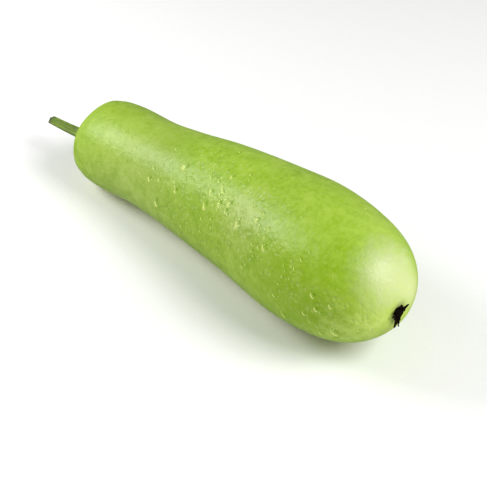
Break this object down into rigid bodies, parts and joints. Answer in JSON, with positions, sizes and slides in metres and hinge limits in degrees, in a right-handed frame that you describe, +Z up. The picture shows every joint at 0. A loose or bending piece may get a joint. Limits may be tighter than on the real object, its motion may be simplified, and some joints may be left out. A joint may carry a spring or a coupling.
{
  "type": "bottle gourd",
  "caption": "Long pale-green bottle gourd lying on its side, with a blunt head, faint waist, full belly, cut ribbed stalk and withered flower.",
  "frame": {"origin": "middle of the footprint, on the surface that the gourd rests on", "axes": "+X runs from the cut stalk to the blossom end, +Z is up, and the fruit bows slightly towards +Y"},
  "size_m": [0.3572, 0.0962, 0.0945],
  "materials": {
    "skin": "satin",
    "stalk": "matte",
    "dried_flower": "matte"
  },
  "bodies": {
    "root": {"fruit": "skin", "peduncle": "stalk", "withered_flower": "dried_flower"}
  },
  "joints": []
}
